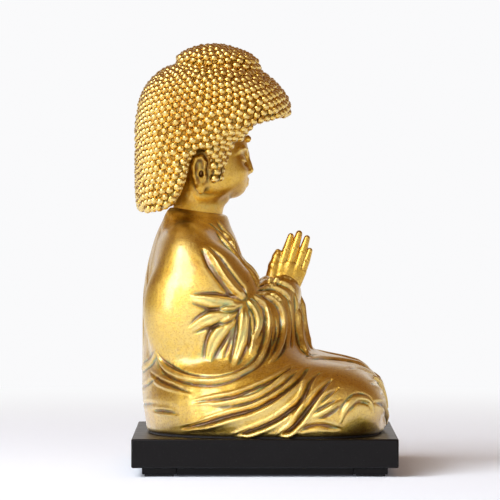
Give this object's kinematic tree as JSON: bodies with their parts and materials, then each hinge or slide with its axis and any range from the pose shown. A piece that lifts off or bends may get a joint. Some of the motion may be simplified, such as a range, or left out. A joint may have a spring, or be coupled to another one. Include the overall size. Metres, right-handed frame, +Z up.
{
  "type": "seated praying buddha statue on a base",
  "caption": "Seated praying Buddha figure in gold with a large curled hair cap, pinned together from cast pieces, on a low black footed base it lifts off.",
  "frame": {"origin": "centre of the base at floor level, under the four felt pads", "axes": "+X the way the figure faces, +Y its left, +Z up"},
  "size_m": [0.0736, 0.087, 0.1201],
  "materials": {
    "base_lacquer": "satin black lacquer",
    "pad_felt": "pressed felt",
    "figure_felt": "pressed felt",
    "dowel_brass": "turned brass",
    "robe_gold": "hand-laid gold leaf with a green tint in the folds",
    "skin_gold": "hand-laid gold leaf",
    "hair_gold": "gilt curls with green-brown hollows"
  },
  "bodies": {
    "base": {"base_slab": "base_lacquer", "rail_front": "base_lacquer", "rail_rear": "base_lacquer", "rail_left": "base_lacquer", "rail_right": "base_lacquer", "foot_front_left": "base_lacquer", "foot_front_right": "base_lacquer", "foot_rear_left": "base_lacquer", "foot_rear_right": "base_lacquer", "pad_front_left": "pad_felt", "pad_front_right": "pad_felt", "pad_rear_left": "pad_felt", "pad_rear_right": "pad_felt", "dowel_front": "dowel_brass", "dowel_rear": "dowel_brass"},
    "figure": {"figure_felt": "figure_felt", "bottom_cover": "dowel_brass", "torso": "robe_gold", "lap": "robe_gold", "sleeve_right": "robe_gold", "sleeve_left": "robe_gold", "sleeve_pin_right": "dowel_brass", "sleeve_pin_left": "dowel_brass", "lap_pin_right": "dowel_brass", "lap_pin_left": "dowel_brass", "head": "skin_gold", "neck_pin": "dowel_brass", "forehead_bead": "skin_gold", "hair": "hair_gold", "crown_dome": "hair_gold", "hand_right": "skin_gold", "hand_left": "skin_gold"}
  },
  "joints": [
    {"name": "figure_lift", "type": "slide", "parent": "base", "child": "figure", "axis": [0, 0, 1], "range_m": [0, 0.03]}
  ]
}
